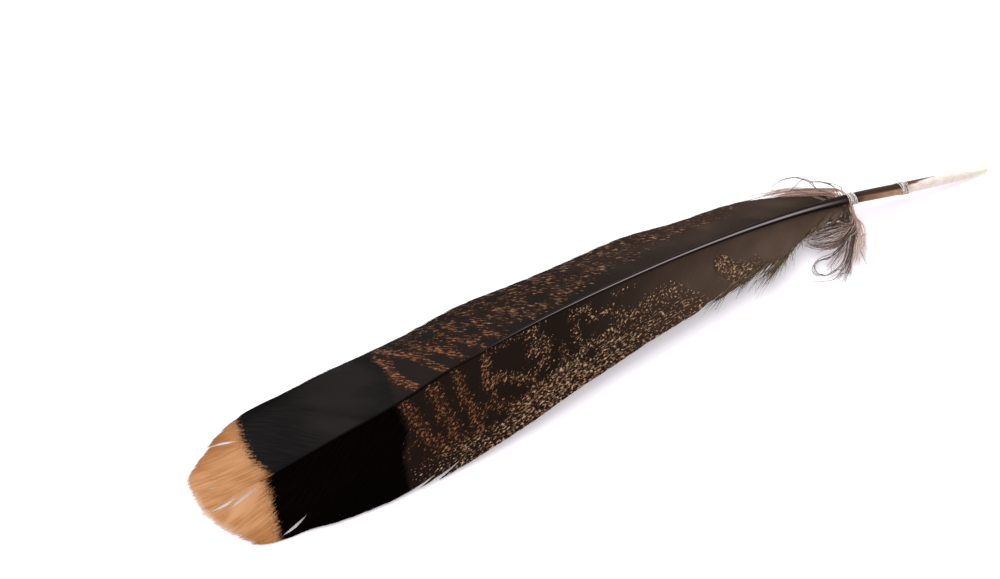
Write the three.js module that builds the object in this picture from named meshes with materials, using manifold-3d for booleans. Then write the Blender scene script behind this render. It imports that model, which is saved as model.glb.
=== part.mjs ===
// A turkey tail feather that lies on a surface with its upper side up, and the two thread
// wraps round its quill. Millimetres, +Z up.
// The feather is laid out with its quill end at x = 0 and its tip at x = LENGTH. +X runs from
// the quill to the tip, and +Y is the near side. The finished group is then moved so that the
// middle of its footprint is at the origin.

import * as THREE from "three";
import { mergeVertices } from "three/addons/utils/BufferGeometryUtils.js";
import Module from "manifold-3d";

// Driving dimensions
const LENGTH = 330; // quill end to tip, in a straight line
const FOOTPRINT_MIDDLE_Y = 3.9; // the plan line through the middle of the feather's width
const VANE_THICKNESS = 0.8;
const LOCK_WIDTH = 8.4; // spacing of the locks along a vane's edge
const LOCK_GROOVE = 0.25; // how deep the surface dips between two locks
const DEEPEST_NOTCH = 0.6; // as a share of the barb's length
const ROWS_PER_LOCK = 3;
const EDGE_SAMPLES = 400;
const STEPS_ALONG_BARB = 5;
const VANE_DROOP_POWER = 1.3; // above 1, a barb leaves the shaft level and then falls
const VANE_OVERLAP = 0.45; // how far a vane reaches past the middle of the shaft, into the other
const CUT_DEPTH = 20; // deeper than the tip is thick
const SHAFT_SIDES = 8;
const SHAFT_STEP = 9;
const DOWN_SIDES = 4;
const DOWN_STEPS = 7;
const DOWN_ROOT_RADIUS = 1.1;
const DOWN_TIP_RADIUS = 0.35;
const WRAP_GAP = 0.3; // clearance between the quill and the thread
const WRAP_WIDTH = 4;
const WRAP_THICKNESS = 0.45;
const WRAP_VALLEY = 0.6; // height between two turns, as a share of the thickness
const WRAP_SIDES = 14;
const WRAP_TURNS = 4;

// The shaft's middle line: place along the feather, sideways place, height, radius.
const SHAFT = [
  [0, 0.3, 0.6, 0.45],
  [6, -0.2, 1.4, 1.25],
  [14, -1.0, 2.7, 1.9],
  [25, -2.0, 4.1, 2.2],
  [40, -3.8, 5.7, 2.25],
  [58, -6.2, 7.4, 2.1],
  [80, -8.1, 9.1, 1.6],
  [110, -8.6, 10.9, 1.2],
  [145, -7.5, 12.1, 0.85],
  [187, -5.0, 11.5, 0.6],
  [225, -1.2, 9.2, 0.5],
  [250, 3.0, 7.1, 0.45],
  [282, 6.3, 4.3, 0.4],
  [306, 9.0, 2.2, 0.35],
];

// Guide barbs of the near vane, from the quill to the tip. Each row holds the barb's root on the
// shaft, its end in plan, its end's height, and its heading in degrees from +X at root and end.
const NEAR_BARBS = [
  [62, 69, -2.6, 7.0, 55, 25],
  [68, 80, -0.4, 6.8, 55, 25],
  [74, 89, 3.6, 6.5, 55, 30],
  [81, 102, 10.2, 6.4, 58, 35],
  [90, 114, 10.4, 6.5, 55, 25],
  [105, 131, 13.4, 6.5, 55, 25],
  [130, 158, 18.0, 6.2, 55, 28],
  [160, 190, 24.4, 5.0, 55, 30],
  [185, 218, 30.2, 3.2, 53, 28],
  [210, 244, 33.8, 1.2, 50, 25],
  [232, 267, 35.2, 0.2, 48, 20],
  [250, 288, 34.4, -0.5, 46, 15],
  [264, 305, 31.6, -0.8, 42, 12],
  [276, 316, 30.6, -0.8, 38, 10],
  [285, 321, 26.0, -0.8, 33, 8],
  [291, 323.8, 21.5, -0.8, 27, 6],
  [297, 327, 17.2, -0.8, 18, 4],
  [302, 328.4, 13.2, -0.6, 8, 3],
  [306, 329.2, 9.0, -0.4, 3, 0],
];

// Guide barbs of the far vane, in the same form.
const FAR_BARBS = [
  [62, 74, -16.0, 7.0, -45, -25],
  [68, 86, -20.6, 6.6, -42, -25],
  [76, 100, -24.4, 6.8, -40, -24],
  [95, 124, -25.6, 6.8, -38, -22],
  [118, 149, -28.2, 6.5, -37, -24],
  [150, 184, -27.3, 5.5, -36, -24],
  [180, 216, -27.6, 4.0, -36, -23],
  [205, 243, -25.4, 1.8, -38, -20],
  [230, 268, -24.4, 0.2, -40, -16],
  [250, 286, -22.0, -0.5, -42, -12],
  [265, 301, -20.5, -0.8, -44, -8],
  [277, 312, -16.6, -0.8, -42, -4],
  [285, 319.2, -12.2, -0.8, -38, 0],
  [291, 324.8, -7.9, -0.8, -32, 2],
  [296, 329, -4.2, -0.8, -25, 3],
  [300, 330, 0.5, -0.8, -18, 3],
  [303, 329.6, 5.5, -0.6, -10, 2],
  [306, 329.2, 10.0, -0.4, 0, 0],
];

// How deep the notch between two locks cuts into each vane's edge, by place along the edge.
const NEAR_NOTCHES = [
  [69, 3.0],
  [88, 4.5],
  [104, 5.0],
  [116, 1.8],
  [160, 1.4],
  [232, 1.2],
  [246, 4.5],
  [260, 3.0],
  [272, 0.9],
  [300, 0.9],
  [316, 1.2],
  [329, 1.0],
];
const FAR_NOTCHES = [
  [74, 3.0],
  [92, 1.2],
  [150, 1.2],
  [240, 1.0],
  [300, 0.9],
  [320, 1.8],
  [330, 1.0],
];

// Slits between barbs near the tip, as plan lenses: one end, the other end, the widest opening.
const TIP_SLITS = [
  [[308.0, -11.9], [314.5, -11.2], 0.9],
  [[308.9, 10.5], [318.1, 14.1], 0.9],
  [[316.3, 10.7], [324.7, 11.8], 1.1],
  [[299.3, 32.0], [309.3, 28.4], 1.1],
];

// Locks of down at the foot of the vanes: root on the shaft, then the points each lock follows.
const DOWN_LOCKS = [
  [62, [61.4, 1.5, 5.6], [61.8, 8.3, 3.6], [64.8, 13.0, 2.2], [68.6, 18.4, 1.2]],
  [62, [64.0, 2.0, 6.0], [66.5, 10.0, 4.2], [71.5, 17.0, 2.4], [76.4, 21.8, 1.2]],
  [62, [62.8, 2.5, 5.8], [65.0, 11.5, 3.6], [66.0, 20.6, 1.2]],
  [63, [65.4, 3.0, 6.0], [69.9, 11.0, 4.2], [74.8, 16.0, 2.4], [79.6, 19.4, 1.2]],
  [63, [66.4, 3.4, 6.0], [72.5, 9.3, 5.0], [81.3, 10.4, 3.6], [86.0, 13.4, 2.4], [83.6, 16.4, 1.8]],
  [64, [68.0, 4.0, 5.8], [74.5, 12.6, 3.4], [81.4, 18.6, 2.0], [90.0, 15.8, 1.2]],
  [66, [71.6, -2.4, 6.6], [80.0, -0.6, 6.2], [83.6, 3.6, 5.2], [78.6, 6.4, 4.6]],
  [65, [69.0, 0.2, 6.2], [77.0, 3.6, 5.4], [83.6, 2.4, 4.4]],
  [62, [59.0, 2.4, 5.2], [60.4, 8.6, 4.4]],
  [62, [62.4, -11.6, 7.4], [68.1, -17.0, 7.2], [79.0, -19.4, 6.8]],
  [64, [65.0, -14.6, 7.6], [70.4, -19.8, 8.2], [76.8, -19.2, 7.6]],
  [63, [61.6, -11.0, 7.4], [61.8, -14.2, 7.2], [66.8, -17.4, 7.0]],
];

// Where each thread wrap sits on the quill.
const INNER_WRAP_PLACE = 57.2;
const OUTER_WRAP_PLACE = 36.2;

const wasm = await Module();
wasm.setup();

const degrees = Math.PI / 180;

// A smooth curve through rows of numbers. The first column is the place, and the others follow it.
function follow(rows, place) {
  const last = rows.length - 1;
  let i = 0;
  while (i < last - 1 && place > rows[i + 1][0]) i += 1;
  const before = rows[Math.max(i - 1, 0)];
  const start = rows[i];
  const end = rows[i + 1];
  const after = rows[Math.min(i + 2, last)];
  const span = end[0] - start[0];
  const t = Math.min(Math.max((place - start[0]) / span, 0), 1);
  return start.map((value, column) => {
    const leave = ((end[column] - before[column]) / (end[0] - before[0])) * span;
    const arrive = ((after[column] - value) / (after[0] - start[0])) * span;
    return hermite(value, leave, end[column], arrive, t);
  });
}

// The cubic that starts and ends at two values with the slopes given.
function hermite(start, leave, end, arrive, t) {
  const rise = t * t * (3 - 2 * t);
  return start * (1 - rise) + end * rise + leave * t * (1 - t) * (1 - t) - arrive * t * t * (1 - t);
}

// The same number between 0 and 1 for the same count, so that locks differ but never change.
function scatter(count) {
  const wave = Math.sin(count * 12.9898 + 4.1414) * 43758.5453;
  return wave - Math.floor(wave);
}

// Moves every vertex of a closed three.js shape, and returns it as a solid.
function shapedSolid(geometry, place) {
  geometry.deleteAttribute("normal");
  geometry.deleteAttribute("uv");
  const welded = mergeVertices(geometry, 1e-4);
  const points = welded.getAttribute("position");
  const point = new THREE.Vector3();
  for (let i = 0; i < points.count; i += 1) {
    point.copy(place(point.fromBufferAttribute(points, i)));
    points.setXYZ(i, point.x, point.y, point.z);
  }
  const mesh = new wasm.Mesh({
    numProp: 3,
    vertProperties: new Float32Array(points.array),
    triVerts: new Uint32Array(welded.getIndex().array),
  });
  return new wasm.Manifold(mesh);
}

function solidToGeometry(solid) {
  const { vertProperties, triVerts } = solid.getMesh();
  const geometry = new THREE.BufferGeometry();
  geometry.setAttribute("position", new THREE.BufferAttribute(vertProperties, 3));
  geometry.setIndex(new THREE.BufferAttribute(triVerts, 1));
  geometry.computeVertexNormals();
  return geometry;
}

function shaftPoint(place) {
  const [x, y, z] = follow(SHAFT, place);
  return new THREE.Vector3(x, y, z);
}

// The shaft is a turned tapering rod, bent along its middle line.
function shaftSolid() {
  const end = SHAFT[SHAFT.length - 1][0];
  const profile = [new THREE.Vector2(0, 0)];
  const steps = Math.round(end / SHAFT_STEP);
  for (let i = 0; i <= steps; i += 1) {
    const place = (end * i) / steps;
    profile.push(new THREE.Vector2(follow(SHAFT, place)[3], place));
  }
  profile.push(new THREE.Vector2(0, end));
  const rod = new THREE.LatheGeometry(profile, SHAFT_SIDES);
  return shapedSolid(rod, (v) => shaftPoint(v.y).add(new THREE.Vector3(0, v.z, v.x)));
}

// The roots of the lines between locks, spaced so that the locks are equally wide at the edge.
function lockRoots(barbs) {
  const first = barbs[0][0];
  const last = barbs[barbs.length - 1][0];
  const roots = [];
  const lengths = [];
  let length = 0;
  let previous = null;
  for (let i = 0; i <= EDGE_SAMPLES; i += 1) {
    const root = first + ((last - first) * i) / EDGE_SAMPLES;
    const [, x, y] = follow(barbs, root);
    if (previous) length += Math.hypot(x - previous[0], y - previous[1]);
    previous = [x, y];
    roots.push(root);
    lengths.push(length);
  }
  const locks = Math.round(length / LOCK_WIDTH);
  const lines = [];
  for (let k = 0; k <= locks; k += 1) {
    const wanted = (length * k) / locks;
    const found = lengths.findIndex((value) => value >= wanted - 1e-9);
    lines.push(roots[found]);
  }
  return lines;
}

// A point of a vane's upper surface, from the shaft at along = 0 to the edge at along = 1.
function vanePoint(barbs, root, along) {
  const [, endX, endY, endZ, leaving, arriving] = follow(barbs, root);
  const start = shaftPoint(root);
  const chord = Math.hypot(endX - start.x, endY - start.y);
  const leave = leaving * degrees;
  const arrive = arriving * degrees;
  const x = hermite(start.x, chord * Math.cos(leave), endX, chord * Math.cos(arrive), along);
  const y = hermite(start.y, chord * Math.sin(leave), endY, chord * Math.sin(arrive), along);
  const z = start.z + (endZ - start.z) * along ** VANE_DROOP_POWER;
  return new THREE.Vector3(x, y, z);
}

// A vane is a flat box with a grid of segments. Its long way follows the shaft, lock by lock,
// its short way follows the barbs, and its edge is notched between the locks.
function vaneSolid(barbs, notches, side) {
  const lines = lockRoots(barbs);
  const locks = lines.length - 1;
  const rows = locks * ROWS_PER_LOCK;
  const sheet = new THREE.BoxGeometry(rows, STEPS_ALONG_BARB, 1, rows, STEPS_ALONG_BARB, 1);
  return shapedSolid(sheet, (v) => {
    const row = Math.round(v.x + rows / 2);
    const lock = Math.min(Math.floor(row / ROWS_PER_LOCK), locks - 1);
    const across = (row - lock * ROWS_PER_LOCK) / ROWS_PER_LOCK;
    const root = lines[lock] + (lines[lock + 1] - lines[lock]) * across;
    const onLine = row % ROWS_PER_LOCK === 0;
    const along = (side * v.y) / STEPS_ALONG_BARB + 0.5;
    const edge = vanePoint(barbs, root, 1);
    const depth = follow(notches, edge.x)[1] * (0.5 + scatter(row + side));
    const chord = edge.distanceTo(shaftPoint(root));
    const reach = onLine && row > 0 && row < rows ? 1 - Math.min(depth / chord, DEEPEST_NOTCH) : 1;
    const point = vanePoint(barbs, root, along * reach);
    if (onLine) point.z -= LOCK_GROOVE * along;
    if (along < 1e-6) point.y -= side * VANE_OVERLAP;
    point.z = Math.max(point.z, VANE_THICKNESS);
    if (v.z < 0) point.z -= VANE_THICKNESS;
    return point;
  });
}

// A lock of down is a thin tapering rod bent along its own curve.
function downSolid([root, ...points]) {
  const path = new THREE.CatmullRomCurve3([
    shaftPoint(root),
    ...points.map((point) => new THREE.Vector3(...point)),
  ]);
  const frames = path.computeFrenetFrames(DOWN_STEPS);
  const rod = new THREE.CylinderGeometry(
    DOWN_TIP_RADIUS, DOWN_ROOT_RADIUS, DOWN_STEPS, DOWN_SIDES, DOWN_STEPS,
  );
  return shapedSolid(rod, (v) => {
    const step = Math.round(v.y + DOWN_STEPS / 2);
    return path
      .getPointAt(step / DOWN_STEPS)
      .addScaledVector(frames.normals[step], v.x)
      .addScaledVector(frames.binormals[step], -v.z);
  });
}

// A slit is a thin upright lens that is cut right through the tip.
function slitSolid([from, to, opening]) {
  const start = new THREE.Vector2(...from);
  const end = new THREE.Vector2(...to);
  const middle = start.clone().lerp(end, 0.5);
  const sideways = end.clone().sub(start).rotateAround(new THREE.Vector2(), Math.PI / 2);
  sideways.setLength(opening / 2);
  const outline = new THREE.Shape([
    start, middle.clone().sub(sideways), end, middle.clone().add(sideways),
  ]);
  const lens = new THREE.ExtrudeGeometry(outline, { depth: CUT_DEPTH, bevelEnabled: false });
  return shapedSolid(lens, (v) => v.add(new THREE.Vector3(0, 0, -CUT_DEPTH / 2)));
}

// Shaft, vanes and down grew as one, so they are one solid.
function makeFeather() {
  let feather = shaftSolid();
  feather = feather.add(vaneSolid(NEAR_BARBS, NEAR_NOTCHES, 1));
  feather = feather.add(vaneSolid(FAR_BARBS, FAR_NOTCHES, -1));
  for (const lock of DOWN_LOCKS) feather = feather.add(downSolid(lock));
  for (const slit of TIP_SLITS) feather = feather.subtract(slitSolid(slit));
  const material = new THREE.MeshStandardMaterial({ color: 0x3a2d24, roughness: 0.7 });
  const mesh = new THREE.Mesh(solidToGeometry(feather), material);
  mesh.name = "feather";
  return mesh;
}

// A thread wrap is a turned ring with one ridge for each turn of the thread, set square to the
// quill.
function makeWrap(name, place) {
  const inner = follow(SHAFT, place)[3] + WRAP_GAP;
  const profile = [new THREE.Vector2(inner, -WRAP_WIDTH / 2)];
  for (let i = 0; i <= WRAP_TURNS * 2; i += 1) {
    const rise = i % 2 === 1 ? WRAP_THICKNESS : WRAP_THICKNESS * WRAP_VALLEY;
    const across = WRAP_WIDTH * (i / (WRAP_TURNS * 2) - 0.5);
    profile.push(new THREE.Vector2(inner + rise, across));
  }
  profile.push(new THREE.Vector2(inner, WRAP_WIDTH / 2));
  profile.push(profile[0].clone());
  const ring = new THREE.LatheGeometry(profile, WRAP_SIDES);
  const material = new THREE.MeshStandardMaterial({ color: 0xdcd6cf, roughness: 0.4 });
  const mesh = new THREE.Mesh(ring, material);
  mesh.name = name;
  const ahead = shaftPoint(place + 1).sub(shaftPoint(place - 1)).normalize();
  mesh.position.copy(shaftPoint(place));
  mesh.quaternion.setFromUnitVectors(new THREE.Vector3(0, 1, 0), ahead);
  return mesh;
}

const part = new THREE.Group();
part.add(makeFeather());
part.add(makeWrap("inner_thread_wrap", INNER_WRAP_PLACE));
part.add(makeWrap("outer_thread_wrap", OUTER_WRAP_PLACE));
part.position.set(-LENGTH / 2, -FOOTPRINT_MIDDLE_Y, 0);

export default part;
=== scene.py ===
"""A turkey tail feather lying on a pale floor, with two thread wraps on its quill."""

import bpy
import numpy as np
from mathutils import Matrix, Vector


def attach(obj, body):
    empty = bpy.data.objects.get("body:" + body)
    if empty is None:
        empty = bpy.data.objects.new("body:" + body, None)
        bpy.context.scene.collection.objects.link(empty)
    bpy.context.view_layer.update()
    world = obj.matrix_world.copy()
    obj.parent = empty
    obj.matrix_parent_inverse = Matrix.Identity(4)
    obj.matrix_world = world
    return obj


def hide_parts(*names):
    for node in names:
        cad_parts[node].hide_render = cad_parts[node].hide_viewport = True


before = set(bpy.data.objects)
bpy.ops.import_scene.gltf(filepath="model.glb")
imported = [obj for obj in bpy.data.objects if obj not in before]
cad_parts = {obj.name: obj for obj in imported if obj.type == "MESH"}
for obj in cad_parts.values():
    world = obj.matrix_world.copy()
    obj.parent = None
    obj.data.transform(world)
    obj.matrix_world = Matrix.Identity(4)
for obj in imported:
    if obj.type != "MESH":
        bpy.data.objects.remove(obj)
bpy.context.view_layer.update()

# Lengths are in millimetres in the feather's own frame. x runs from the end of the quill to the
# tip, y is positive on the near side, and z is up. to_scene() turns them into the shared frame.
LENGTH = 330.0
FOOTPRINT_MIDDLE_Y = 3.9
MILLIMETRE = 0.001

NEAR_SIDE = 1
FAR_SIDE = -1

# The shaft: place, sideways, height and radius.
SHAFT = [
    (0, 0.3, 0.9, 0.75),
    (6, -0.2, 1.5, 1.3),
    (14, -1.0, 2.7, 1.9),
    (25, -2.0, 4.1, 2.2),
    (40, -3.8, 5.7, 2.25),
    (58, -6.2, 7.4, 2.1),
    (80, -8.1, 9.1, 1.6),
    (110, -8.6, 10.9, 1.2),
    (145, -7.5, 12.1, 0.85),
    (187, -5.0, 11.5, 0.6),
    (225, -1.2, 9.2, 0.5),
    (250, 3.0, 7.1, 0.45),
    (282, 6.3, 4.3, 0.4),
    (306, 9.0, 2.2, 0.35),
]

# Barbs: root on the shaft, the end's x, y and z, and the angles at which a barb leaves and ends.
NEAR_BARBS = [
    (59.6, 63.4, 0.4, 6.6, 66, 50),
    (61.5, 68, 0.0, 6.7, 60, 36),
    (65.5, 79, 0.8, 6.6, 52, 22),
    (69.5, 89, 3.6, 6.5, 50, 24),
    (75, 102, 10.2, 6.4, 50, 28),
    (82, 114, 10.4, 6.5, 50, 20),
    (94, 131, 13.4, 6.5, 48, 18),
    (115, 158, 18.0, 6.2, 47, 18),
    (141, 190, 24.4, 5.0, 47, 16),
    (164, 218, 30.2, 3.2, 46, 14),
    (187, 244, 33.8, 1.2, 45, 12),
    (208, 267, 35.2, 0.2, 44, 8),
    (228, 288, 34.4, -0.5, 41, -3),
    (245, 305, 31.6, -0.8, 38, -13),
    (261, 316, 30.6, -0.8, 36, -20),
    (274, 321, 26.0, -0.8, 32, -10),
    (284, 323.8, 21.5, -0.8, 27, 0),
    (293, 327, 17.2, -0.8, 20, 2),
    (300, 328.4, 13.2, -0.6, 10, 2),
    (306, 329.2, 9.0, -0.4, 3, 0),
]
FAR_BARBS = [
    (60.5, 70, -14.0, 7.1, -46, -26),
    (62.5, 76, -17.0, 7.0, -45, -25),
    (67, 86, -20.6, 6.6, -42, -25),
    (75, 100, -24.4, 6.8, -40, -24),
    (94, 124, -25.6, 6.8, -38, -20),
    (116, 149, -28.2, 6.5, -37, -22),
    (147, 184, -27.3, 5.5, -37, -20),
    (176, 216, -27.6, 4.0, -37, -18),
    (201, 243, -25.4, 1.8, -38, -15),
    (226, 268, -24.4, 0.2, -38, -11),
    (246, 286, -22.0, -0.5, -39, -3),
    (262, 301, -20.5, -0.8, -41, 7),
    (275, 312, -16.6, -0.8, -40, 14),
    (284, 319.2, -12.2, -0.8, -37, 14),
    (291, 324.8, -7.9, -0.8, -31, 11),
    (296, 329, -4.2, -0.8, -24, 8),
    (300, 330, 0.5, -0.8, -16, 5),
    (303, 329.6, 5.5, -0.6, -9, 2),
    (306, 329.2, 10.0, -0.4, 0, 0),
]

# How deep the gaps between locks are at the edge: the edge's x, then the depth.
NEAR_NOTCHES = [
    (60, 0.2), (74, 0.4), (88, 3), (101, 3), (112, 1.8), (160, 1.2), (232, 0.9), (260, 0.9),
    (272, 0.7), (300, 0.7), (316, 0.9), (329, 0.7),
]
FAR_NOTCHES = [(74, 1), (92, 0.5), (150, 0.6), (240, 0.7), (300, 0.8), (320, 1.2), (330, 0.7)]

# Steps in the edge: x from and to, and how much shorter the barbs are at both. Below 0 is longer.
NEAR_STEPS = [
    (80, 90, 0, 3.2), (90, 97, 3.2, 0), (97, 104.5, 0, -6), (104.5, 114, 8.5, 0),
    (121, 128.5, 0, -3.5), (128.5, 136, 6, 0), (244, 250, 0, -1.5), (250, 258.9, 9, 0),
    (258.9, 268, 7.5, 0),
]
FAR_STEPS = [(319, 322, 1.2, 0)]

# Slits between barbs: the middle, the length, the widest opening, and whether it runs out
# through the edge.
SLITS = [
    ((311.8, -11.8), 10, 1, False), ((313.2, 12), 11.5, 1.1, False),
    ((320.4, 11.9), 11, 1.1, False), ((301.4, 30.2), 10, 1.3, False), ((321.7, 3.2), 4, 0.6, False),
    ((320, -11.3), 5, 1, True), ((103.2, 8.6), 7, 2.2, True), ((126.6, 13), 7, 1.2, True),
]

# In place of a pinkness: strands of the vane's solid foot, which are brown and have no barbules.
SOLID = -1.0

# Tufts of down: number of strands, spread, thickness, how pinkish, root on the shaft, then the
# points that the tuft follows.
DOWN_TUFTS = [
    # The solid foot of the near vane.
    (36, 0.6, 0.24, SOLID, 60, [(61.6, -3.4, 6.8), (64.4, -0.9, 6.4)]),
    (30, 0.7, 0.24, SOLID, 63, [(66, -4, 7), (69.5, -2.4, 6.6)]),
    (24, 0.7, 0.22, SOLID, 66.5, [(70.5, -4.2, 7), (75.1, -2.8, 6.6)]),
    (50, 0.7, 0.24, SOLID, 60.5, [(62.4, -3, 6.9), (64.8, -0.6, 6.6), (67, 0.6, 6.4)]),
    (60, 0.8, 0.24, SOLID, 60, [(61.6, -3.2, 6.6), (63.6, -0.4, 6.4), (65.4, 1.2, 6.2)]),
    (56, 0.8, 0.24, SOLID, 62, [(65, -3.8, 6.8), (68.4, -1.6, 6.5), (70.8, -1, 6.3)]),
    (40, 0.6, 0.2, 0, 61, [(63.4, -0.6, 6.4), (66.2, 1.2, 6.2), (70, 0.2, 5.9), (74.6, -0.8, 5.6)]),
    # The hanging tuft: a pink sheet, stray curls, the dark core and its loop.
    (40, 0.6, 0.14, 0.95, 59, [(61.6, -0.2, 6.2), (61.3, 3.7, 5.4), (62.5, 7.7, 4.5), (65.4, 11.1, 3.6),
        (67.6, 14.5, 2.7), (70.1, 16.7, 1.9)]),
    (22, 0.8, 0.13, 0.85, 59.2, [(61, 1, 6), (62.2, 6, 5), (64, 10.5, 3.8), (66, 14, 2.8)]),
    (3, 0.4, 0.08, 0.2, 59, [(60.6, -0.1, 6.2), (59.7, 3.7, 5.6), (60.9, 5.6, 5.2)]),
    (4, 0.6, 0.08, 0.2, 59, [(61.5, 4, 5.4), (63, 7.4, 4.5), (62.3, 10, 4.1), (62.9, 12.3, 3.6),
        (65.5, 13.7, 3.1), (65.8, 15, 2.8)]),
    (3, 0.3, 0.08, 0, 60, [(62.4, 4, 5.4), (63.7, 8.6, 4.2), (61.7, 8.8, 4.4), (59.2, 9.2, 4.5)]),
    (6, 0.7, 0.08, 0.2, 60, [(62, 5, 5), (64.9, 11.3, 3.6), (66.7, 15.3, 2.6), (69.4, 19.2, 1.6)]),
    (5, 0.7, 0.08, 0.2, 60, [(62, 5, 5), (65.8, 12.8, 3.2), (66.4, 16.2, 2.5), (66.2, 21.2, 1.4)]),
    (30, 0.8, 0.15, 0, 61, [(63.3, -1, 6.2), (62.7, 2.3, 5.6), (64.1, 6.1, 4.7), (67.8, 10.7, 3.4),
        (70.9, 14.8, 2.3), (73.9, 18.9, 1.2), (77.6, 22.4, 1)]),
    (24, 0.9, 0.15, 0.05, 62, [(64.3, -0.7, 6), (63.4, 4.2, 5.1), (67, 9.2, 3.8), (72.3, 14.1, 2.3),
        (75.8, 17.2, 1.4), (81, 20.5, 1)]),
    (20, 0.9, 0.14, 0.1, 62, [(63, 0, 6), (63.6, 3.3, 5.3), (67.8, 8.1, 3.9), (73, 11.6, 2.8),
        (77.7, 14.2, 1.8), (80.4, 15.8, 1.2)]),
    (8, 0.25, 0.16, 0, 62, [(63.4, 0.5, 6), (64.6, 4.4, 5), (69.8, 7.9, 3.8), (73.2, 10, 3.1),
        (77.7, 11.6, 2.3), (81.8, 10.7, 2.1), (85.4, 12.7, 1.4), (85.2, 15.4, 1), (82, 15.8, 1),
        (78, 13.2, 1.8)]),
    (9, 0.5, 0.13, 0, 62, [(63.4, 0.5, 6), (64.6, 4.4, 5), (71.4, 9.4, 3.4), (76.4, 10.7, 2.6),
        (81.4, 10.6, 2.2), (85.3, 12.4, 1.4)]),
    (8, 0.5, 0.12, 0.2, 63, [(65, 6, 4.4), (69.2, 11.9, 3.1), (74.7, 17.8, 1.4), (78.6, 17, 1.1),
        (83.7, 17.1, 1)]),
    (3, 0.15, 0.17, 0, 63, [(66, 8, 3.6), (71, 14.5, 2), (76.2, 17.8, 1.2), (80.5, 19.6, 1),
        (83.5, 19.2, 1), (87.4, 17.8, 1), (91, 15.5, 1)]),
    # Pale fine strands under the tuft and the skirt.
    (36, 1.8, 0.12, 0.75, 61, [(62.6, 0.6, 5.6), (64.5, 5, 4.6), (69, 11, 3), (73, 15, 1.8)]),
    (44, 1.6, 0.12, 0.65, 61.5, [(62.6, 1.4, 5.8), (66, 4, 5.2), (73, 4.5, 4.6), (80, 3, 4)]),
    # The skirt of loops toward the vane.
    (30, 0.6, 0.16, 0.1, 61.5, [(62.6, 0.6, 6.4), (65, 1.7, 6.2), (67, -0.9, 5.8), (69.8, -2.2, 5.3),
        (73.7, -1.8, 4.8), (76.7, -1, 4.4)]),
    (34, 0.9, 0.16, 0.15, 61.5, [(62.6, 1.4, 6.4), (64.9, 4, 6.2), (68.9, 2.1, 5.8), (73.9, 1, 5.3),
        (78.8, 0.9, 4.8), (82.7, 0.5, 4.4)]),
    (40, 1.1, 0.17, 0.05, 61.5, [(62.6, 1.8, 6.4), (65.3, 4.6, 6.2), (69.4, 4.6, 5.8), (73.8, 4.2, 5.3),
        (77.9, 3, 4.8), (82.6, 1, 4.4)]),
    (36, 0.9, 0.16, 0.05, 61.5, [(62.6, 1.8, 6.4), (65.9, 5.2, 6.2), (71.8, 7.6, 5.8), (75.8, 7, 5.3),
        (80.1, 4.8, 4.8), (83.9, 0.8, 4.4)]),
    (16, 0.5, 0.14, 0, 61.5, [(62.6, 1.8, 6.4), (66.2, 5.5, 6.2), (73.4, 9.5, 5.8), (77.9, 8.7, 5.3),
        (81.8, 5.7, 4.8), (84.4, 1, 4.4)]),
    (14, 0.4, 0.15, 0, 61.5, [(63, 1, 6.6), (65, 2.6, 6.4), (67.2, -1.9, 6.4), (70.8, -4.1, 6.3),
        (74, -4.6, 6.3), (76.6, -2.9, 6.2), (79.5, -0.2, 5.6), (84.9, 1.3, 5)]),
    # Wisps along the near edge.
    (8, 0.5, 0.1, 0.3, 70, [(75.9, -2.9, 6.8), (78.8, 0.1, 6.8), (82.3, 2.3, 6.8), (85.3, 1.9, 6.8)]),
    (5, 0.4, 0.08, 0.4, 73, [(80.2, -1.7, 7.2), (82.2, -0.9, 7.4), (86.6, -0.4, 7.6), (90.3, -0.7, 7.8)]),
    (5, 0.3, 0.09, 0.5, 63, [(66, 6.2, 4.6), (72.4, 8.5, 3.4), (77, 7.8, 3.1), (82, 7.7, 2.7)]),
    # The pink band along the far edge, and its stray curls.
    (70, 0.7, 0.15, 0.95, 60, [(60.2, -11.6, 7.3), (66, -14.6, 7.2), (73.2, -17.8, 7.1), (80.5, -20.6, 7),
        (88, -22, 6.9)]),
    (60, 0.8, 0.16, 0.8, 61, [(63.2, -11.4, 7.4), (69.2, -14.4, 7.3), (75.9, -17.3, 7.2),
        (83.5, -20.3, 7)]),
    (10, 0.4, 0.13, 0.35, 66, [(76, -19, 7.4), (84, -21.6, 7.2), (91.5, -23.3, 7), (98, -24.6, 6.9)]),
    (40, 0.7, 0.16, 0.45, 62.5, [(65.9, -11.6, 7.6), (71.9, -14.9, 7.5), (79, -18, 7.2)]),
    (5, 0.35, 0.15, 0, 62, [(61.4, -14.3, 7.4), (64.4, -18, 7.8), (67.8, -19.6, 8), (70.2, -22.3, 8),
        (75.4, -20.5, 7.8), (80.7, -19, 7.2)]),
    (6, 0.4, 0.15, 0, 65, [(68.1, -16.6, 7.6), (68.7, -20, 8), (72.2, -23.9, 8), (76.6, -25.3, 7.8),
        (81.4, -24.5, 7.6), (85.6, -23.2, 7)]),
    (3, 0.3, 0.11, 0.1, 61, [(59.4, -10.9, 7.4), (58.9, -12.6, 7.6), (61.9, -15.9, 7.8),
        (64.9, -18.2, 7.6)]),
    (1, 0.1, 0.09, 0.2, 57.6, [(54.6, -8.6, 8), (52.5, -11.1, 8), (52.7, -12.8, 7.8)]),
    # The lower end of the hanging tuft's loop.
    (8, 0.3, 0.14, 0, 62, [(63.6, 1.6, 5.6), (67.4, 7.3, 4), (71, 12, 2.9), (74.6, 15.2, 2),
        (78.8, 16.7, 1.3), (82.8, 16.9, 1), (84.9, 14.6, 1), (84.4, 11.5, 1.3), (81.6, 9.4, 2.2)]),
]

# Hairs that stand out of the near edge: root from and to, number, and how far past the edge.
EDGE_HAIRS = [(64, 72, 60, 0.16), (70, 77, 90, 0.2), (77, 86, 50, 0.1), (88, 93.5, 26, 0.1)]

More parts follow.
